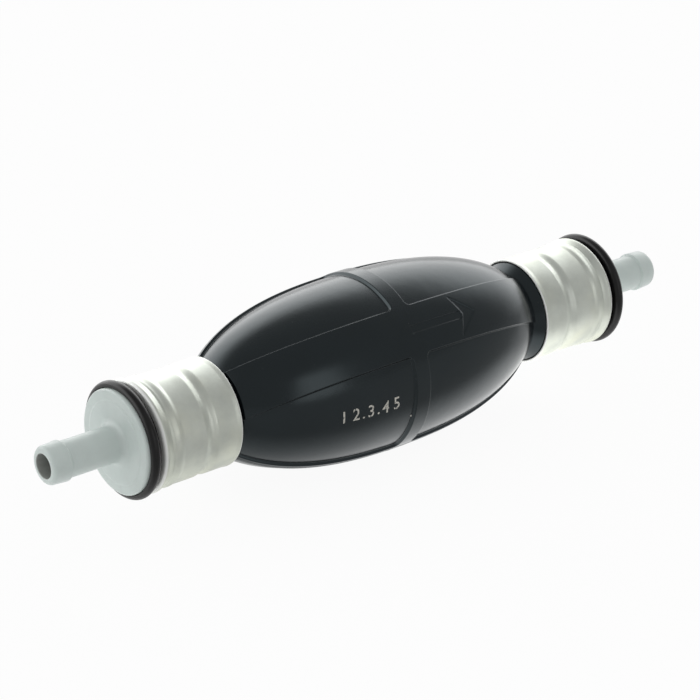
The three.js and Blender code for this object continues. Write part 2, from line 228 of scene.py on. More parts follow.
class Wire:
    """A socket of a shader graph. Arithmetic on it adds Math nodes."""

    def __init__(self, graph, socket):
        self.graph = graph
        self.socket = socket

    def math(self, operation, *values):
        return self.graph.node("ShaderNodeMath", {"operation": operation}, dict(enumerate(values)))[0]

    def __add__(self, other):
        return self.math("ADD", self, other)

    def __sub__(self, other):
        return self.math("SUBTRACT", self, other)

    def __rsub__(self, other):
        return self.math("SUBTRACT", other, self)

    def __mul__(self, other):
        return self.math("MULTIPLY", self, other)

    def __truediv__(self, other):
        return self.math("DIVIDE", self, other)

    def clipped(self, low, high):
        """0 at low, 1 at high, smooth between."""
        settings = {"interpolation_type": "SMOOTHSTEP"}
        inputs = {0: self, 1: low, 2: high, 3: 0.0, 4: 1.0}
        return self.graph.node("ShaderNodeMapRange", settings, inputs)[0]

    __radd__ = __add__
    __rmul__ = __mul__


class Made:
    """A node whose outputs are read by number or name."""

    def __init__(self, graph, node):
        self.graph = graph
        self.made = node

    def __getitem__(self, key):
        return Wire(self.graph, self.made.outputs[key])


class Graph:
    """The node tree of a material or a world."""

    def __init__(self, owner):
        owner.use_nodes = True
        self.tree = owner.node_tree
        self.tree.nodes.clear()

    def node(self, kind, settings=None, inputs=None):
        """One node: its settings first, then a value or a link for each input."""
        made = self.tree.nodes.new(kind)
        for key, value in (settings or {}).items():
            setattr(made, key, value)
        for key, value in (inputs or {}).items():
            if isinstance(value, Wire):
                self.tree.links.new(value.socket, made.inputs[key])
            else:
                made.inputs[key].default_value = value
        return Made(self, made)

    def place(self):
        """The point on the piece, in metres."""
        return self.node("ShaderNodeTexCoord")["Object"]

    def stretched(self, scale):
        """The point, scaled along each axis."""
        return self.node("ShaderNodeVectorMath", {"operation": "MULTIPLY"}, {0: self.place(), 1: scale})[0]

    def noise(self, scale, detail=3.0, roughness=0.5, vector=None):
        inputs = {"Vector": vector or self.place(), "Scale": scale, "Detail": detail, "Roughness": roughness}
        return self.node("ShaderNodeTexNoise", {}, inputs)[0]

    def specks(self, scale, size, seed, share=0.28):
        """Sparse round specks: 1 inside the share of the Voronoi cells that hold one."""
        shift = {0: self.place(), 1: (seed, seed, seed)}
        moved = self.node("ShaderNodeVectorMath", {"operation": "ADD"}, shift)[0]
        cells = self.node("ShaderNodeTexVoronoi", {}, {"Vector": moved, "Scale": scale})
        lottery = self.node("ShaderNodeSeparateColor", {}, {0: cells["Color"]})[0]
        drawn = lottery.math("GREATER_THAN", lottery, 1 - share)
        return (1.0 - cells["Distance"].clipped(size * 0.6, size)) * drawn

    def mixed(self, share, first, second):
        """A colour between two."""
        first, second = (c if isinstance(c, Wire) else (*c, 1.0) for c in (first, second))
        return self.node("ShaderNodeMix", {"data_type": "RGBA"}, {0: share, 6: first, 7: second})[2]

    def bump(self, height, distance, strength=1.0, under=None):
        inputs = {"Height": height, "Distance": distance, "Strength": strength}
        if under:
            inputs["Normal"] = under
        return self.node("ShaderNodeBump", {}, inputs)[0]


def finished(name, paint):
    """A material whose Principled inputs come from paint(graph)."""
    material = bpy.data.materials.new(name)
    graph = Graph(material)
    shader = graph.node("ShaderNodeBsdfPrincipled", {}, paint(graph))
    graph.node("ShaderNodeOutputMaterial", {}, {"Surface": shader[0]})
    return material


def shade(rgb, factor):
    return tuple(min(value * factor, 1.0) for value in rgb)


# ---- Finishes ----


def bulb_rubber(rgb):
    """Satin moulded rubber: a soft bloom, fine mould grain and a little dust."""

    def paint(graph):
        cloud = graph.noise(90.0, 4.0)
        bloom = graph.noise(420.0, 3.0, 0.6)
        grain = graph.noise(5200.0, 2.0, 0.7)
        ripple = graph.noise(260.0, 2.0, 0.4)
        dust = graph.specks(620.0, 0.055, 0.37)
        base = graph.mixed(cloud.clipped(0.35, 0.7), rgb, shade(rgb, 1.45))
        relief = graph.bump(ripple, 0.03 * MM, 1.0, graph.bump(grain, 0.004 * MM))
        return {
            "Base Color": graph.mixed(dust * 0.3, base, (0.18, 0.18, 0.17)),
            "Roughness": 0.15 + bloom * 0.06 + cloud * 0.04 + dust * 0.2,
            "Normal": relief,
            "IOR": 1.5,
            "Specular Tint": (0.80, 0.95, 1.0, 1.0),
        }

    return finished("bulb_rubber", paint)


def seal_rubber(rgb):
    """Duller extruded rubber with fine turning marks."""

    def paint(graph):
        cloud = graph.noise(300.0, 3.0)
        rings = graph.noise(1.0, 2.0, 0.6, graph.stretched((9000.0, 120.0, 120.0)))
        return {
            "Base Color": graph.mixed(cloud.clipped(0.35, 0.7), rgb, shade(rgb, 1.9)),
            "Roughness": 0.24 + cloud * 0.12,
            "IOR": 1.38,
            "Normal": graph.bump(rings, 0.01 * MM, 0.8),
        }

    return finished("seal_rubber", paint)


def sleeve_metal(rgb):
    """Satin drawn metal: faint rings from drawing, cloudy stains, painted shade that makes the underside
    warmer and darker, a few pits, and pale edges at the mouth and the rim that are painted highlights."""

    def paint(graph):
        parts = graph.node("ShaderNodeSeparateXYZ", {}, {0: graph.place()})
        along = parts[0].math("ABSOLUTE", parts[0])
        cloud = graph.noise(140.0, 4.0, 0.55)
        blotch_noise = graph.noise(75.0, 3.0, 0.6)
        rings = graph.noise(1.0, 3.0, 0.65, graph.stretched((7000.0, 90.0, 90.0)))
        grain = graph.noise(3800.0, 2.0, 0.6)
        pits = graph.specks(330.0, 0.05, 0.12)
        # Half random stains, half painted shade: the colour turns warmer and darker towards the bottom.
        stain_and_underside_shade = blotch_noise.clipped(0.4, 0.7) * 0.5 + (1.0 - parts[2].clipped(-11 * MM, 4 * MM)) * 0.5
        stained_and_shaded = graph.mixed(stain_and_underside_shade, rgb, (rgb[0] * 0.98, rgb[1] * 0.955, rgb[2] * 0.86))
        cloudy = graph.mixed(cloud.clipped(0.3, 0.72) * 0.7, stained_and_shaded, shade(rgb, 0.76))
        pitted = graph.mixed(pits * 0.8, cloudy, (0.12, 0.11, 0.09))
        # Painted highlights: thin pale, less metallic bands along the rim and the mouth edge, where the
        # edges catch the light.
        at_rim = along.clipped(SLEEVE_RIM - 0.7 * MM, SLEEVE_RIM - 0.4 * MM)
        at_mouth = 1.0 - along.clipped(SLEEVE_MOUTH + 0.1 * MM, SLEEVE_MOUTH + 0.35 * MM)
        painted_edge_highlight = at_rim + at_mouth
        return {
            "Base Color": graph.mixed(painted_edge_highlight * 0.9, pitted, (0.93, 0.94, 0.92)),
            "Metallic": 0.94 - painted_edge_highlight * 0.6,
            "Roughness": 0.33 + cloud * 0.16 + rings * 0.05,
            "Normal": graph.bump(rings, 0.012 * MM, 0.8, graph.bump(grain, 0.004 * MM)),
        }

    return finished("sleeve_metal", paint)


def fitting_plastic(rgb):
    """Milky moulded nylon with faint flow clouds, and painted shade inside its bore."""

    def paint(graph):
        parts = graph.node("ShaderNodeSeparateXYZ", {}, {0: graph.place()})
        radius = parts[1].math("SQRT", parts[1] * parts[1] + parts[2] * parts[2])
        cloud = graph.noise(170.0, 4.0, 0.6)
        grain = graph.noise(4200.0, 2.0, 0.6)
        blotch_noise = graph.noise(900.0, 3.0, 0.6)
        base = graph.mixed(cloud.clipped(0.3, 0.75), rgb, shade(rgb, 0.93))
        # Painted shade: the base colour turns dark grey inside the bore, where little light reaches, with
        # blotchy variation.
        painted_bore_shade = (1.0 - radius.clipped(2.65 * MM, 2.8 * MM)) * (0.75 + blotch_noise * 0.3)
        return {
            "Base Color": graph.mixed(painted_bore_shade, base, (0.32, 0.33, 0.31)),
            "Roughness": 0.26 + cloud * 0.1,
            "Subsurface Weight": 0.12,
            "Subsurface Radius": (0.8, 1.0, 0.9),
            "Subsurface Scale": 1.2 * MM,
            "Normal": graph.bump(grain, 0.006 * MM),
        }

    return finished("fitting_plastic", paint)


def valve_plastic(rgb):
    """Natural acetal, smooth, with a faint waxy cloud."""

    def paint(graph):
        cloud = graph.noise(400.0, 3.0)
        grain = graph.noise(6000.0, 2.0, 0.6)
        return {
            "Base Color": graph.mixed(cloud.clipped(0.35, 0.7), rgb, shade(rgb, 0.92)),
            "Roughness": 0.3 + cloud * 0.12,
            "Normal": graph.bump(grain, 0.004 * MM),
        }

    return finished("valve_plastic", paint)


def spring_wire(rgb):
    """Drawn stainless wire with die lines."""

    def paint(graph):
        cloud = graph.noise(900.0, 3.0)
        lines = graph.noise(1.0, 2.0, 0.6, graph.stretched((12000.0, 500.0, 500.0)))
        return {
            "Base Color": graph.mixed(cloud.clipped(0.35, 0.7), rgb, shade(rgb, 0.8)),
            "Metallic": 1.0,
            "Roughness": 0.2 + lines * 0.12,
            "Normal": graph.bump(lines, 0.004 * MM),
        }

    return finished("spring_wire", paint)


def stamped_ink(rgb, rubber):
    """Thin pale ink, worn through to the rubber in places."""

    def paint(graph):
        worn = graph.noise(2600.0, 3.0, 0.6)
        return {
            "Base Color": graph.mixed(worn.clipped(0.5, 0.66), rgb, shade(rubber, 8.0)),
            "Roughness": 0.5 + worn * 0.2,
        }

    return finished("stamped_ink", paint)


# ---- Mesh making ----


def smooth_step(t):
    t = np.clip(t, 0.0, 1.0)
    return t * t * (3 - 2 * t)


def hump(distance, half_width):
    """1 at the centre, 0 beyond the half width, a raised cosine between."""
    return 0.5 + 0.5 * np.cos(np.pi * np.clip(np.abs(distance) / half_width, 0, 1))


def stations(low, high, step, zones):
    """Places from low to high, a step apart, and closer in each (centre, half width, step) zone."""
    fine = np.linspace(low, high, 20000)
    local = np.full_like(fine, step)
    for centre, half_width, zone_step in zones:
        # The step grows by a third of the distance outside the zone.
        outside = np.maximum(np.abs(fine - centre) - half_width, 0.0)
        local = np.minimum(local, zone_step + outside / 3)
    count = np.concatenate([[0.0], np.cumsum(np.diff(fine) / local[1:])])
    wanted = np.linspace(0.0, count[-1], int(math.ceil(count[-1])) + 1)
    return np.interp(wanted, count, fine)


def grid_faces(index, flip=False):
    """Quads between the neighbours of a 2-D array of vertex numbers."""
    quads = np.stack([index[:-1, :-1], index[1:, :-1], index[1:, 1:], index[:-1, 1:]], -1).reshape(-1, 4)
    return quads[:, ::-1] if flip else quads


def new_piece(name, points, faces, material, sharp_degrees=40.0):
    """An object at the origin with its place in its mesh, smooth but for its sharp edges."""
    mesh = bpy.data.meshes.new(name)
    mesh.from_pydata(points.reshape(-1, 3).tolist(), [], faces)
    mesh.materials.append(material)
    mesh.shade_smooth()
    mesh.set_sharp_from_angle(angle=math.radians(sharp_degrees))
    piece = bpy.data.objects.new(name, mesh)
    bpy.context.scene.collection.objects.link(piece)
    return piece


def about_x(x, radius, angle):
    """Points at a distance from the X axis, at an angle from +Y towards +Z."""
    return np.stack(np.broadcast_arrays(x, radius * np.cos(angle), radius * np.sin(angle)), -1)


def turned(name, outline, material, facets=192, wave=None, sharp_degrees=40.0):
    """A closed outline of [x, radius] points, each carried round X on a circle.
    wave(x, angle), in metres, is added to the radius."""
    angle = np.linspace(0, 2 * np.pi, facets, endpoint=False)
    x = outline[:, :1]
    radius = outline[:, 1:] + (wave(x, angle[None, :]) if wave else 0.0)
    points = about_x(x, radius + 0 * angle, angle[None, :])
    index = np.arange(points.shape[0] * facets).reshape(points.shape[0], facets)
    index = np.vstack([index, index[:1]])
    index = np.hstack([index, index[:, :1]])
    return new_piece(name, points, grid_faces(index).tolist(), material, sharp_degrees)


def rounded(corners, steps=6):
    """A closed outline through (x, radius, rounding) corners, each cut by an arc that touches its edges."""
    place = np.array([corner[:2] for corner in corners])
    outline = []
    for i, (x, radius, rounding) in enumerate(corners):
        here = place[i]
        back, on = place[i - 1] - here, place[(i + 1) % len(place)] - here
        back_length, on_length = np.linalg.norm(back), np.linalg.norm(on)
        back, on = back / back_length, on / on_length
        half = 0.5 * math.acos(np.clip(back @ on, -1, 1))
        if rounding <= 0 or half > math.pi / 2 - 1e-3:
            outline.append(here)
            continue
        cut = min(rounding / math.tan(half), 0.49 * back_length, 0.49 * on_length)
        arc_radius = cut * math.tan(half)
        middle = (back + on) / np.linalg.norm(back + on)
        centre = here + middle * arc_radius / math.sin(half)
        start, end = here + back * cut - centre, here + on * cut - centre
        turn = math.pi - 2 * half
        share = np.linspace(0, 1, steps + 1)[:, None]
        arc = (np.sin((1 - share) * turn) * start + np.sin(share * turn) * end) / math.sin(turn)
        outline.extend(centre + arc)
    return np.array(outline)


def on_side(outline, side):
    """An outline made for the +X end, or its mirror image for the -X end, still facing out."""
    return outline if side > 0 else (outline * [-1, 1])[::-1]


# ---- The rubber bulb ----

# Wide strips and narrow ribs alternate round the bulb, and the thumb presses halfway between two.
RAISED_COUNT = 4
RAISED_PITCH = 2 * math.pi / RAISED_COUNT
FIRST_STRIP = THUMB_ANGLE - RAISED_PITCH / 2
# The dome turns down to the neck over this length.
DOME_EDGE = 0.35 * MM
# Half the width of the fine seam along each rib.
FLASH_HALF_WIDTH = 0.16 * MM
# The engraving's sides slope over this width.
ARROW_SLOPE = 0.22 * MM
# Inside the sleeve's mouth, the neck steps down to the cuff from here, over this run.
CUFF_STEP = 0.3 * MM
CUFF_STEP_RUN = 0.5 * MM
# The cuff narrows this far before the sleeve's rim, to pass through the sleeve's lip.
CUFF_SHOULDER = 0.8 * MM
CUFF_SHOULDER_RUN = 0.15 * MM
# The bulb's grid has points this far apart where its shape is plain.
PLAIN_STEP = 0.6 * MM
# Distances outwards from the axis where the rubber would start and finish following a squeeze wall; nothing
# here bends it.
SQUEEZE_START = 8 * MM
SQUEEZE_END = 20 * MM


def dome_radius(sizes, x):
    """Radius over the strips: R sqrt(1 - (|x| / a)^n), with a from the radius at the dome's end."""
    end_share = (sizes.end_radius / sizes.radius) ** 2
    dome_reach = sizes.half_length / (1 - end_share) ** (1 / sizes.fullness)
    share = np.minimum(np.abs(x - BULB_MIDDLE), sizes.half_length) / dome_reach
    return sizes.radius * np.sqrt(1 - share**sizes.fullness)


def from_raised(angle):
    """Angle from the middle of the nearest strip or rib."""
    return (angle - FIRST_STRIP + RAISED_PITCH / 2) % RAISED_PITCH - RAISED_PITCH / 2


def is_strip(angle):
    """True where the nearest raised part is a wide strip, not a rib."""
    return np.cos(2 * (angle - FIRST_STRIP)) > 0


def raised_border(sizes, angle, radius):
    """Angle from the middle of the nearest strip or rib to its border, at a radius."""
    return np.arcsin(np.where(is_strip(angle), sizes.strip_width, sizes.rib_width) / 2 / radius)


def arrow_depth(sizes, x, across):
    """Depth of the engraved arrow: a shaft and a swept-back head, joined as distances to their edges."""
    along, off = x - BULB_MIDDLE, np.abs(across)
    half_shaft = sizes.shaft_length / 2
    shaft = np.maximum(np.abs(along - half_shaft) - half_shaft, off - sizes.shaft_width / 2)
    corner = sizes.shaft_length - sizes.head_sweep
    taper = sizes.head_width / 2 / sizes.head_length
    front = off - taper * (corner + sizes.head_length - along)
    sweep = sizes.head_sweep / (sizes.head_width - sizes.shaft_width) * 2
    back = corner + sweep * (sizes.head_width / 2 - off) - along
    head = np.maximum(front / math.hypot(1, taper), back / math.hypot(1, sweep))
    return sizes.depth * smooth_step(-np.minimum(shaft, head) / ARROW_SLOPE + 0.25)


def past_dome(sizes, x):
    """Distance beyond the dome's nearer end, below zero on the dome."""
    return np.abs(x - BULB_MIDDLE) - sizes.half_length


def neck_cone(sizes, x):
    """Radius of the neck, which widens evenly from the dome's end to the sleeve's mouth."""
    neck_length = SLEEVE_MOUTH - np.sign(x) * BULB_MIDDLE - sizes.half_length
    share = np.clip(past_dome(sizes, x) / neck_length, 0, 1)
    return sizes.neck_radius + (sizes.mouth_radius - sizes.neck_radius) * share


def bulb_radius(sizes, arrow, x, angle):
    """Outside radius of the bulb. The dome, less the relief inside the panels, whose edge distance has
    rounded corners beside the belt; less the arrow; then the neck, and the cuff inside the sleeve."""
    dome = dome_radius(sizes, x)
    off = from_raised(angle)
    past_raised = dome * (np.abs(off) - raised_border(sizes, angle, dome))
    past_belt = np.abs(x - BULB_MIDDLE) - sizes.belt_width / 2
    corner = sizes.panel_corner
    inside = corner - np.hypot(np.maximum(corner - past_raised, 0), np.maximum(corner - past_belt, 0))
    radius = dome - sizes.relief * smooth_step(inside / sizes.step_width)
    radius = radius + ~is_strip(angle) * sizes.flash * hump(dome * off, FLASH_HALF_WIDTH)
    on_first = np.cos(angle - FIRST_STRIP) > math.cos(RAISED_PITCH / 2)
    radius = radius - on_first * arrow_depth(arrow, x, dome * np.sin(off))
    for past, run, beyond in (
        (past_dome(sizes, x) + DOME_EDGE, DOME_EDGE, neck_cone(sizes, x)),
        (np.abs(x) - SLEEVE_MOUTH - CUFF_STEP, CUFF_STEP_RUN, sizes.cuff_radius),
        (np.abs(x) - SLEEVE_RIM + CUFF_SHOULDER, CUFF_SHOULDER_RUN, sizes.cuff_end_radius),
    ):
        radius = radius + (beyond - radius) * smooth_step(past / run)
    return radius


def bulb_bore(sizes, x):
    """Inside radius: the dome less relief and wall, and the neck's bore past it."""
    inside = np.maximum(dome_radius(sizes, x) - sizes.relief - sizes.wall, sizes.bore_radius)
    return np.where(past_dome(sizes, x) < 0, inside, sizes.bore_radius)


def bulb_columns(sizes, arrow):
    """Places along X, close together at the belt's edges, the arrow and the neck."""
    edge = sizes.belt_width / 2 + sizes.step_width / 2
    zones = []
    for side in (-1, 1):
        zones.append((BULB_MIDDLE + side * edge, 0.4 * MM, 0.07 * MM))
        zones.append((BULB_MIDDLE + side * sizes.half_length, 0.7 * MM, 0.12 * MM))
        zones.append((side * (SLEEVE_MOUTH + 0.5 * MM), 0.5 * MM, 0.12 * MM))
        zones.append((side * (SLEEVE_RIM - CUFF_SHOULDER), 0.2 * MM, 0.05 * MM))
    half_arrow = (arrow.shaft_length - arrow.head_sweep + arrow.head_length) / 2
    zones.append((BULB_MIDDLE + half_arrow, half_arrow, 0.16 * MM))
    return stations(-SLEEVE_RIM, SLEEVE_RIM, PLAIN_STEP, zones)


def bulb_rows(sizes, arrow, facing):
    """Angles at the bulb's middle, for the half that faces one way: close together at the borders of
    the strip and the rib and at the arrow, with one hair-thin row beside each seam."""
    per_metre = 1 / sizes.radius
    zones = []
    for middle in (facing - RAISED_PITCH / 2, facing + RAISED_PITCH / 2):
        for side in (-1, 1):
            border = raised_border(sizes, middle, sizes.radius)
            step_middle = middle + side * (border + sizes.step_width / 2 * per_metre)
            zones.append((step_middle, 0.35 * MM * per_metre, 0.07 * MM * per_metre))
        if math.cos(middle - FIRST_STRIP) > 0.99:
            zones.append((middle, arrow.head_width / 2 * per_metre, 0.17 * MM * per_metre))
        if not is_strip(middle):
            zones.append((middle, 0.25 * MM * per_metre, 0.05 * MM * per_metre))
    low, high = facing - math.pi / 2, facing + math.pi / 2
    rows = stations(low, high, PLAIN_STEP * per_metre, zones)
    hair = 0.02 * MM * per_metre
    return np.concatenate([[low, low + hair], rows[1:-1], [high - hair, high]])


def spread_rows(sizes, x, home):
    """The angle at x of a row that has a home angle at the bulb's middle. On a strip or rib, rows keep
    their distance from its middle, so its borders stay parallel; across a panel they share the rest."""
    limit = RAISED_PITCH / 2
    off = from_raised(home)
    dome = dome_radius(sizes, x)
    home_border = raised_border(sizes, home, sizes.radius)
    border = raised_border(sizes, home, dome)
    on_raised = np.arcsin(np.clip(np.sin(np.abs(off)) * sizes.radius / dome, 0, 1))
    in_panel = border + (np.abs(off) - home_border) / (limit - home_border) * (limit - border)
    return home - off + np.sign(off) * np.where(np.abs(off) < home_border, on_raised, in_panel)


def bulb_half(name, sizes, arrow, facing, material):
    """Half of the bulb's shell, cut at the plane through the axis that its facing is square to. The outer
    and inner walls are radius functions of place and angle on a grid, joined by strips along both seams
    and by one flat face at each end."""
    x = bulb_columns(sizes, arrow)[:, None]
    angle = spread_rows(sizes, x, bulb_rows(sizes, arrow, facing)[None, :])
    outer = about_x(x, bulb_radius(sizes, arrow, x, angle), angle)
    inner_angle = np.linspace(facing - math.pi / 2, facing + math.pi / 2, 25)[None, :]
    inner = about_x(x, bulb_bore(sizes, x) + 0 * inner_angle, inner_angle + 0 * x)
    outside = np.arange(outer.shape[0] * outer.shape[1]).reshape(outer.shape[:2])
    inside = outside.size + np.arange(inner.shape[0] * inner.shape[1]).reshape(inner.shape[:2])
    faces = [
        *grid_faces(outside, flip=True).tolist(),
        *grid_faces(inside).tolist(),
        *grid_faces(np.stack([outside[:, 0], inside[:, 0]], 1)).tolist(),
        *grid_faces(np.stack([inside[:, -1], outside[:, -1]], 1)).tolist(),
        [*outside[0], *inside[0, ::-1]],
        [*outside[-1, ::-1], *inside[-1]],
    ]
    points = np.concatenate([outer.reshape(-1, 3), inner.reshape(-1, 3)])
    return new_piece(name, points, faces, material)


def bend_with_wall(piece, wall):
    """Bakes the piece's transform into its mesh. The squeeze direction and span are worked out, but the
    piece is not bent.
    """
    outwards = -PRESS if wall == "thumb_wall" else PRESS
    near, far = SQUEEZE_START * outwards, SQUEEZE_END * outwards
    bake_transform(piece)


class PUMP_OT_bulb(bpy.types.Operator):
    """Make the rubber bulb in two halves"""

    bl_idname = "pump.bulb"
    bl_label = "Rubber bulb"

    def execute(self, context):
        sizes, arrow = context.scene.pump_bulb, context.scene.pump_arrow
        rubber = bulb_rubber(context.scene.pump_colours.bulb)
        front = bulb_half("bulb_front", sizes, arrow, THUMB_ANGLE, rubber)
        back = bulb_half("bulb_back", sizes, arrow, THUMB_ANGLE + math.pi, rubber)
        for piece, wall in ((front, "thumb_wall"), (back, "finger_wall")):
            bend_with_wall(piece, wall)
            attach(piece, "root")
        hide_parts("bulb_shell", "thumb_wall")
        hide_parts("bulb_shell", "finger_wall")
        return {"FINISHED"}


# A numeral of the built-in font stands this tall, and the printed ones are a little narrower.
FONT_HEIGHT = 0.7
GLYPH_WIDTH = 0.92
GLYPH_BOLD = 0.004
# Each glyph is cut into lengths this short, so that it can bend.
GLYPH_CUT = 0.075
# How far, as shares of a numeral, the glyphs lean and stand off the line.
GLYPH_LEAN = 0.05
GLYPH_DRIFT = 0.025
# A stray dot of ink beside the belt: its place along X, and its height over the thumb wall's centre line.
STRAY_DOT = (-3.0 * MM, -3.7 * MM)


def flat_glyph(glyph, bold):
    """A glyph as a thin closed solid in the XY plane, one unit tall for a numeral, with its middle at
    x = 0, cut along both axes into short lengths so that it can bend."""
    curve = bpy.data.curves.new("glyph", "FONT")
    curve.body = glyph
    curve.align_x = "CENTER"
    curve.extrude = 0.5
    curve.offset = bold
    curve.resolution_u = 3
    text = bpy.data.objects.new("glyph", curve)
    bpy.context.scene.collection.objects.link(text)
    mesh = bpy.data.meshes.new_from_object(text.evaluated_get(bpy.context.evaluated_depsgraph_get()))
    bpy.data.objects.remove(text)
    shape = bmesh.new()
    shape.from_mesh(mesh)
    bpy.data.meshes.remove(mesh)
    for axis in ((1, 0, 0), (0, 1, 0)):
        for cut in np.arange(-0.45, 0.8, GLYPH_CUT):
            everything = [*shape.verts, *shape.edges, *shape.faces]
            bmesh.ops.bisect_plane(shape, geom=everything, plane_co=Vector(axis) * cut, plane_no=axis)
    bmesh.ops.remove_doubles(shape, verts=shape.verts, dist=1e-5)
    bmesh.ops.scale(shape, vec=(1 / FONT_HEIGHT, 1 / FONT_HEIGHT, 1), verts=shape.verts)
    return shape


def glyph_middles(sizes):
    """The middle of each glyph along X: numerals keep one pitch, and points stand in wider gaps."""
    pairs = zip(sizes.text, sizes.text[1:])
    gaps = [sizes.point_pitch if "." in pair else sizes.pitch for pair in pairs]
    return np.concatenate([[0.0], np.cumsum(gaps)]) - sizes.start


class PUMP_OT_numerals(bpy.types.Operator):
    """Ink plain numerals on the thumb wall"""

    bl_idname = "pump.numerals"
    bl_label = "Inked numerals"

    def execute(self, context):
        sizes, bulb = context.scene.pump_numerals, context.scene.pump_bulb
        colours = context.scene.pump_colours
        points, faces = [], []
        # Each glyph stands a little off the line, as hand-set type does.
        rng = np.random.default_rng(5)
        glyphs = [(glyph, middle, -sizes.drop) for glyph, middle in zip(sizes.text, glyph_middles(sizes))]
        glyphs.append((".", *STRAY_DOT))
        for glyph, middle, foot in glyphs:
            shape = flat_glyph(glyph, GLYPH_BOLD)
            flat = np.array([vertex.co for vertex in shape.verts])
            lean = GLYPH_LEAN * rng.standard_normal()
            x = middle + (flat[:, 0] * GLYPH_WIDTH + flat[:, 1] * lean) * sizes.height
            up = foot + (flat[:, 1] + GLYPH_DRIFT * rng.standard_normal()) * sizes.height
            panel = dome_radius(bulb, x) - bulb.relief
            # The front faces -Y, so a greater angle is lower down.
            angle = THUMB_ANGLE - up / panel
            start = sum(len(group) for group in points)
            points.append(about_x(x, panel + (flat[:, 2] + 0.1) * sizes.ink, angle))
            faces += [[start + vertex.index for vertex in face.verts] for face in shape.faces]
            shape.free()
        ink = stamped_ink(colours.ink, colours.bulb)
        piece = new_piece("inked_numerals", np.concatenate(points), faces, ink)
        bend_with_wall(piece, "thumb_wall")
        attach(piece, "root")
        return {"FINISHED"}


# ---- Sleeves, collar rings and fittings ----


# Round the flange and the seals, between pieces that are fitted together.
CLEARANCE = 0.1 * MM
# How far the crimping rollers' waves go in or out.
CRIMP_WAVE = 0.018 * MM


def sleeve_outline(sizes):
    """The sheet's section: a plain tube with a crimp, a bead, a crease and two flares as raised cosines,
    and a rim rolled over by a quarter circle into a lip."""
    flare_place = SLEEVE_RIM - SLEEVE_MOUTH - sizes.edge_radius

    def radius_at(place):
        return (
            sizes.radius
            - sizes.crimp_depth * hump(place - sizes.crimp_place, sizes.crimp_width)
            + sizes.bead_height * hump(place - sizes.bead_place, sizes.bead_width)
            - sizes.crease_depth * hump(place - sizes.crease_place, sizes.crease_width)
            + sizes.mouth_flare * hump(place, sizes.flare_length)
            + sizes.rim_flare * hump(flare_place - place, sizes.flare_length)
        )

    place = np.linspace(0.45 * MM, flare_place, 140)
    outside = [(SLEEVE_MOUTH + p, r, 0) for p, r in zip(place, radius_at(place))]
    inside = [(x, r - sizes.wall, 0) for x, r, _ in reversed(outside)]
    mouth, rim = radius_at(0.0), radius_at(flare_place)
    edge = 0.45 * sizes.wall
    turn = np.linspace(0.5 * math.pi, 0, 10)[1:]
    rolled_x = SLEEVE_RIM + sizes.edge_radius * (np.cos(turn) - 1)
    rolled_radius = rim + sizes.edge_radius * (np.sin(turn) - 1)
    return rounded(
        [
            (SLEEVE_MOUTH, mouth, edge),
            *outside,
            *((x, radius, 0) for x, radius in zip(rolled_x, rolled_radius)),
            (SLEEVE_RIM, sizes.lip_radius, edge),
            (SLEEVE_RIM - sizes.wall, sizes.lip_radius, edge),
            (SLEEVE_RIM - sizes.wall, rim - sizes.wall, 0.1 * MM),
            *inside,
            (SLEEVE_MOUTH, mouth - sizes.wall, edge),
        ]
    )


def hand_crimped(seed):
    """Slight waves that the crimping rollers leave in the sheet, as a sum of sines of place and angle."""

    def wave(x, angle):
        place = x / MM
        return CRIMP_WAVE * (
            np.sin(3 * angle + seed) * np.sin(0.55 * place + seed)
            + 0.8 * np.sin(5 * angle - 0.35 * place + 2 * seed)
            + 0.5 * np.sin(8 * angle + 0.8 * place - seed)
        )

    return wave


class PUMP_OT_sleeves(bpy.types.Operator):
    """Make the crimped metal sleeve at each end"""

    bl_idname = "pump.sleeves"
    bl_label = "Crimped sleeves"

    def execute(self, context):
        metal = sleeve_metal(context.scene.pump_colours.sleeve)
        outline = sleeve_outline(context.scene.pump_sleeve)
        for end, side in SIDES.items():
            wave = hand_crimped(1.3 + side)
            piece = turned(end + "_sleeve_skin", on_side(outline, side), metal, wave=wave, sharp_degrees=50)
            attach(piece, "root")
            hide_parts(end + "_sleeve")
        return {"FINISHED"}


def collar_outline(sizes, flange_radius, flange_sunk):
    """A short neck beside the sleeve, a round bead, and a recess for the flange."""
    turn = np.linspace(math.pi, 0, 33)
    bead_x = COLLAR_FAR + sizes.bead_radius * (np.cos(turn) - 1)
    bead = np.stack([bead_x, sizes.radius + sizes.bead_radius * (np.sin(turn) - 1)], 1)
    recess = COLLAR_FAR - flange_sunk - CLEARANCE
    rest = rounded(
        [
            (COLLAR_FAR, flange_radius + CLEARANCE, 0.05 * MM),
            (recess, flange_radius + CLEARANCE, 0),
            (recess, sizes.bore_radius, 0),
            (COLLAR_NEAR, sizes.bore_radius, 0),
            (COLLAR_NEAR, sizes.neck_radius, 0.2 * MM),
            (COLLAR_FAR - 2 * sizes.bead_radius, sizes.neck_radius, 0),
        ]
    )
    return np.concatenate([bead, rest])


class PUMP_OT_collars(bpy.types.Operator):
    """Make the black collar ring at each end"""

    bl_idname = "pump.collars"
    bl_label = "Collar rings"

    def execute(self, context):
        rubber = seal_rubber(context.scene.pump_colours.seal)
        fitting = context.scene.pump_fitting
        outline = collar_outline(context.scene.pump_collar, fitting.flange_radius, fitting.flange_sunk)
        for end, side in SIDES.items():
            piece = turned(end + "_collar_skin", on_side(outline, side), rubber)
            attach(piece, "root")
            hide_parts(end + "_collar_ring")
        return {"FINISHED"}


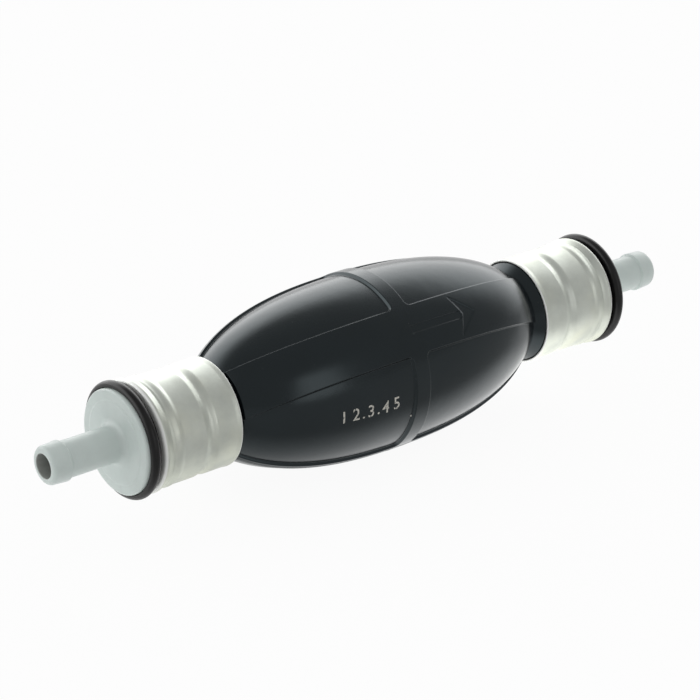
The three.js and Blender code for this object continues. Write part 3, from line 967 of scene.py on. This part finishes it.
def fitting_outline(sizes):
    """Barrel, seal groove, flange, hose tail with its barb, and the stepped bore, with moulded edges."""
    face = COLLAR_FAR + sizes.flange_proud
    back = COLLAR_FAR - sizes.flange_sunk
    crest = TIP - sizes.barb_place
    seal_low, seal_high = span("outlet_barrel_seal", 1)
    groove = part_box("outlet_barrel_seal")[1].z - (seal_high - seal_low) - CLEARANCE
    shoulder = BARREL_END + sizes.chamber_length
    step = 0.8 * sizes.flange_radius
    dish = 0.12 * MM
    turn = np.linspace(0.5 * math.pi, 0, 12)[1:]
    nose_x = TIP + sizes.nose_edge * (np.cos(turn) - 1)
    nose_radius = sizes.nose_radius + sizes.nose_edge * (np.sin(turn) - 1)
    return rounded(
        [
            (BARREL_END, sizes.chamber_radius, 0.2 * MM),
            (BARREL_END, sizes.barrel_radius, 0.4 * MM),
            (seal_low - CLEARANCE, sizes.barrel_radius, 0.1 * MM),
            (seal_low - CLEARANCE, groove, 0.1 * MM),
            (seal_high + CLEARANCE, groove, 0.1 * MM),
            (seal_high + CLEARANCE, sizes.barrel_radius, 0.1 * MM),
            (back, sizes.barrel_radius, 0),
            (back, sizes.flange_radius, 0.2 * MM),
            (face - 0.1 * MM, sizes.flange_radius, 0.5 * MM),
            (face - dish, step + 0.2 * MM, 0.3 * MM),
            (face, step - 0.2 * MM, 0.3 * MM),
            (face, sizes.tail_radius, sizes.fillet),
            (crest - 0.35 * MM, sizes.tail_radius, 0.15 * MM),
            (crest, sizes.barb_radius, 0.2 * MM),
            (TIP - sizes.nose_edge, sizes.nose_radius, 0.5 * MM),
            *((x, radius, 0) for x, radius in zip(nose_x, nose_radius)),
            (TIP, sizes.bore_radius, 0.25 * MM),
            (shoulder, sizes.bore_radius, 0.2 * MM),
            (shoulder, sizes.chamber_radius, 0),
        ],
        steps=8,
    )


class PUMP_OT_fittings(bpy.types.Operator):
    """Make the moulded hose fitting at each end"""

    bl_idname = "pump.fittings"
    bl_label = "Hose fittings"

    def execute(self, context):
        plastic = fitting_plastic(context.scene.pump_colours.fitting)
        outline = fitting_outline(context.scene.pump_fitting)
        for end, side in SIDES.items():
            piece = turned(end + "_fitting_skin", on_side(outline, side), plastic)
            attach(piece, "root")
            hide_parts(end + "_fitting")
        return {"FINISHED"}


# ---- Valve pieces ----


WIRE = 0.5 * MM
SPRING_TURNS = 5


def coil(name, start, end, radius, wire, turns, material):
    """A wire carried along a helix: x runs evenly from start to end while the angle makes its turns.
    The section stands square to the helix; both ends close on a flat face."""
    around, along = 12, int(turns * 36)
    angle = 2 * np.pi * turns * np.linspace(0, 1, along)[:, None]
    x = start + (end - start) * np.linspace(0, 1, along)[:, None]
    section = np.linspace(0, 2 * np.pi, around, endpoint=False)[None, :]
    pitch = (end - start) / turns
    lean = math.atan2(pitch, 2 * math.pi * radius)
    out = wire / 2 * np.cos(section)
    side = wire / 2 * np.sin(section)
    points = about_x(x + side * math.cos(lean), radius + out, angle - side * math.sin(lean) / radius)
    index = np.arange(along * around).reshape(along, around)
    looped = np.hstack([index, index[:, :1]])
    caps = [index[0], index[-1, ::-1]] if end > start else [index[0, ::-1], index[-1]]
    faces = grid_faces(looped, flip=end > start).tolist() + [cap.tolist() for cap in caps]
    return new_piece(name, points, faces, material)


class PUMP_OT_valves(bpy.types.Operator):
    """Wind the valve springs and finish the seats, poppets, seals and retainers"""

    bl_idname = "pump.valves"
    bl_label = "Valves"

    def execute(self, context):
        colours = context.scene.pump_colours
        wire_metal, plastic = spring_wire(colours.spring), valve_plastic(colours.valve)
        rubber = bpy.data.materials["seal_rubber"]
        for end in SIDES:
            node = end + "_spring"
            low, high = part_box(node)
            place = (low.x + WIRE / 2, high.x - WIRE / 2)
            piece = coil(node + "_wound", *place, high.z - WIRE / 2, WIRE, SPRING_TURNS, wire_metal)
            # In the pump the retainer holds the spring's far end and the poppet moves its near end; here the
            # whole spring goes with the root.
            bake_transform(piece)
            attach(piece, "root")
            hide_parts(node)
            for name in ("_valve_seat", "_poppet", "_spring_retainer"):
                self.dress(end + name, plastic)
            for name in ("_disc_seal", "_barrel_seal"):
                self.dress(end + name, rubber)
        return {"FINISHED"}

    @staticmethod
    def dress(node, material):
        frame["nodes"][node].data.materials.clear()
        frame["nodes"][node].data.materials.append(material)


# ---- Stage ----

# Degrees, metres and millimetres of lens
CAMERA_AZIMUTH = -39.49
CAMERA_ELEVATION = 24.49
CAMERA_ROLL = 0.38
CAMERA_DISTANCE = 0.6178
CAMERA_LENS = 147.79
# Across its view, the camera aims this far to the left of the origin, and above it.
AIM_LEFT, AIM_UP = 3.5472 * MM, 1.9994 * MM
# The floor is flat out to one radius, then curves up to its edge.
FLOOR_HALF, FLOOR_FLAT, FLOOR_RISE = 3.0, 2.0, 0.12
FLOOR_STEPS = 41
# The floor's glow, as reflections show it: near the pump, behind it, and more or less along it.
GLOW_NEAR, GLOW_BEHIND, GLOW_INLET_TO_MIDDLE, GLOW_LOST_AT_OUTLET = 0.08, 0.5, 0.65, 0.7
# Share of the floor that the camera sees as plain white; the rest takes the pump's shadow.
FLOOR_WHITE = 0.94
# The plain level on every surface, and how much more comes from behind.
PLAIN_LEVEL, PLAIN_FROM_BEHIND = 0.85, 0.3
# What reflections show: dim grey, the sweep behind and the soft box in front.
SHINE_GREY, SHINE_SWEEP, SHINE_BOX = 0.54, 2.6, 1.25


def towards(azimuth, elevation):
    """Unit vector from the pump to a viewer."""
    a, e = math.radians(azimuth), math.radians(elevation)
    return Vector((math.sin(a) * math.cos(e), -math.cos(a) * math.cos(e), math.sin(e)))


def add_camera(scene):
    data = bpy.data.cameras.new("camera")
    data.lens = CAMERA_LENS
    data.clip_start, data.clip_end = 0.01, 20
    camera = bpy.data.objects.new("camera", data)
    scene.collection.objects.link(camera)
    back = towards(CAMERA_AZIMUTH, CAMERA_ELEVATION)
    right = Vector((0, 0, 1)).cross(back).normalized()
    up = back.cross(right)
    target = -right * AIM_LEFT + up * AIM_UP
    camera.location = back * CAMERA_DISTANCE
    look = target - camera.location
    camera.rotation_mode = "QUATERNION"
    roll = Quaternion((0, 0, 1), math.radians(CAMERA_ROLL))
    camera.rotation_quaternion = look.to_track_quat("-Z", "Y") @ roll
    scene.camera = camera


def add_floor():
    """A pale translucent table, lit from below behind the pump, that keeps the pump's shadow."""
    low = CAD_BOX[0][2]
    line = np.linspace(-FLOOR_HALF, FLOOR_HALF, FLOOR_STEPS)
    x, y = np.meshgrid(line, line, indexing="ij")
    rise = FLOOR_RISE * np.maximum(np.hypot(x, y) - FLOOR_FLAT, 0) ** 2
    index = np.arange(x.size).reshape(x.shape)
    points = np.stack([x, y, low + rise], -1)
    material = bpy.data.materials.new("pale_table")
    graph = Graph(material)
    place = graph.node("ShaderNodeSeparateXYZ", {}, {0: graph.place()})
    behind = (place[1] + place[0] * 0.1).clipped(-0.036, -0.012)
    rising = place[0].clipped(-0.05, 0.02) * GLOW_INLET_TO_MIDDLE
    along = rising - place[0].clipped(0.045, 0.085) * GLOW_LOST_AT_OUTLET
    glow = behind * (along + GLOW_BEHIND) + GLOW_NEAR
    cloud = graph.noise(6.0, 3.0)
    grey = graph.mixed(cloud, (0.6,) * 3, (0.64,) * 3)
    sheet = graph.node("ShaderNodeBsdfDiffuse", {}, {"Color": grey})
    lit = graph.node("ShaderNodeEmission", {}, {"Strength": glow})
    table = graph.node("ShaderNodeAddShader", {}, {0: sheet[0], 1: lit[0]})
    pale = graph.mixed(cloud, (0.93,) * 3, (0.96,) * 3)
    paper = graph.node("ShaderNodeBsdfDiffuse", {}, {"Color": pale})
    white = graph.node("ShaderNodeEmission", {}, {"Strength": 1.0})
    seen = graph.node("ShaderNodeMixShader", {}, {0: FLOOR_WHITE, 1: paper[0], 2: white[0]})
    camera_ray = graph.node("ShaderNodeLightPath")["Is Camera Ray"]
    both = graph.node("ShaderNodeMixShader", {}, {0: camera_ray, 1: table[0], 2: seen[0]})
    graph.node("ShaderNodeOutputMaterial", {}, {"Surface": both[0]})
    new_piece("floor", points, grid_faces(index).tolist(), material)


def add_world(scene):
    """A plain soft level on every surface. Reflections show the studio: a bright sweep behind, a narrow
    soft box in front, and dim grey elsewhere. The camera sees white."""
    world = bpy.data.worlds.new("studio")
    scene.world = world
    graph = Graph(world)
    way = graph.node("ShaderNodeTexCoord")["Generated"]
    parts = graph.node("ShaderNodeSeparateXYZ", {}, {0: way})
    x, y, z = parts[0], parts[1], parts[2]
    level = (x * x + y * y + 1e-6).math("SQRT", x * x + y * y + 1e-6)

    def turned_to(azimuth):
        ahead = towards(azimuth, 0)
        return (x * ahead.x + y * ahead.y) / level

    sweep = turned_to(180).clipped(-0.36, 0.30) * (1.0 - z.clipped(0.54, 0.84))
    box = turned_to(6).clipped(0.975, 0.992) * z.clipped(-0.2, -0.05) * (1.0 - z.clipped(0.5, 0.64))
    studio = sweep * SHINE_SWEEP + box * SHINE_BOX + SHINE_GREY
    plain = sweep * PLAIN_FROM_BEHIND + PLAIN_LEVEL
    rays = graph.node("ShaderNodeLightPath")
    camera_ray, glossy_ray = rays["Is Camera Ray"], rays["Is Glossy Ray"]
    light = plain + (studio - plain) * glossy_ray
    strength = camera_ray + (1.0 - camera_ray) * light
    shader = graph.node("ShaderNodeBackground", {}, {"Strength": strength})
    graph.node("ShaderNodeOutputWorld", {}, {"Surface": shader[0]})


class PUMP_OT_stage(bpy.types.Operator):
    """Set the pale floor, soft studio light and camera"""

    bl_idname = "pump.stage"
    bl_label = "Stage"

    def execute(self, context):
        scene = context.scene
        scene.view_settings.view_transform = "Standard"
        add_camera(scene)
        add_world(scene)
        add_floor()
        return {"FINISHED"}


# ---- Panel and registration ----

GROUPS = {
    "pump_bulb": PumpBulbSizes,
    "pump_arrow": PumpArrowSizes,
    "pump_numerals": PumpNumeralSizes,
    "pump_sleeve": PumpSleeveSizes,
    "pump_collar": PumpCollarSizes,
    "pump_fitting": PumpFittingSizes,
    "pump_colours": PumpColours,
}
STEPS = (
    PUMP_OT_bulb,
    PUMP_OT_numerals,
    PUMP_OT_sleeves,
    PUMP_OT_collars,
    PUMP_OT_fittings,
    PUMP_OT_valves,
    PUMP_OT_stage,
)


class PUMP_PT_panel(bpy.types.Panel):
    """Lists the pump's sizes and the steps that make it"""

    bl_label = "Siphon bulb pump"
    bl_idname = "PUMP_PT_panel"
    bl_space_type = "VIEW_3D"
    bl_region_type = "UI"
    bl_category = "Pump"

    def draw(self, context):
        for step in STEPS:
            self.layout.operator(step.bl_idname)
        for name, group in GROUPS.items():
            box = self.layout.box()
            box.label(text=group.__name__)
            for key in group.__annotations__:
                box.prop(getattr(context.scene, name), key)


def register():
    for group in GROUPS.values():
        bpy.utils.register_class(group)
    for step in (*STEPS, PUMP_PT_panel):
        bpy.utils.register_class(step)
    for name, group in GROUPS.items():
        setattr(bpy.types.Scene, name, PointerProperty(type=group))


def unregister():
    for name in GROUPS:
        delattr(bpy.types.Scene, name)
    for made in (PUMP_PT_panel, *reversed(STEPS), *reversed(GROUPS.values())):
        bpy.utils.unregister_class(made)


def main():
    register()
    for step in STEPS:
        group, name = step.bl_idname.split(".")
        getattr(getattr(bpy.ops, group), name)()


if __name__ == "__main__":
    main()
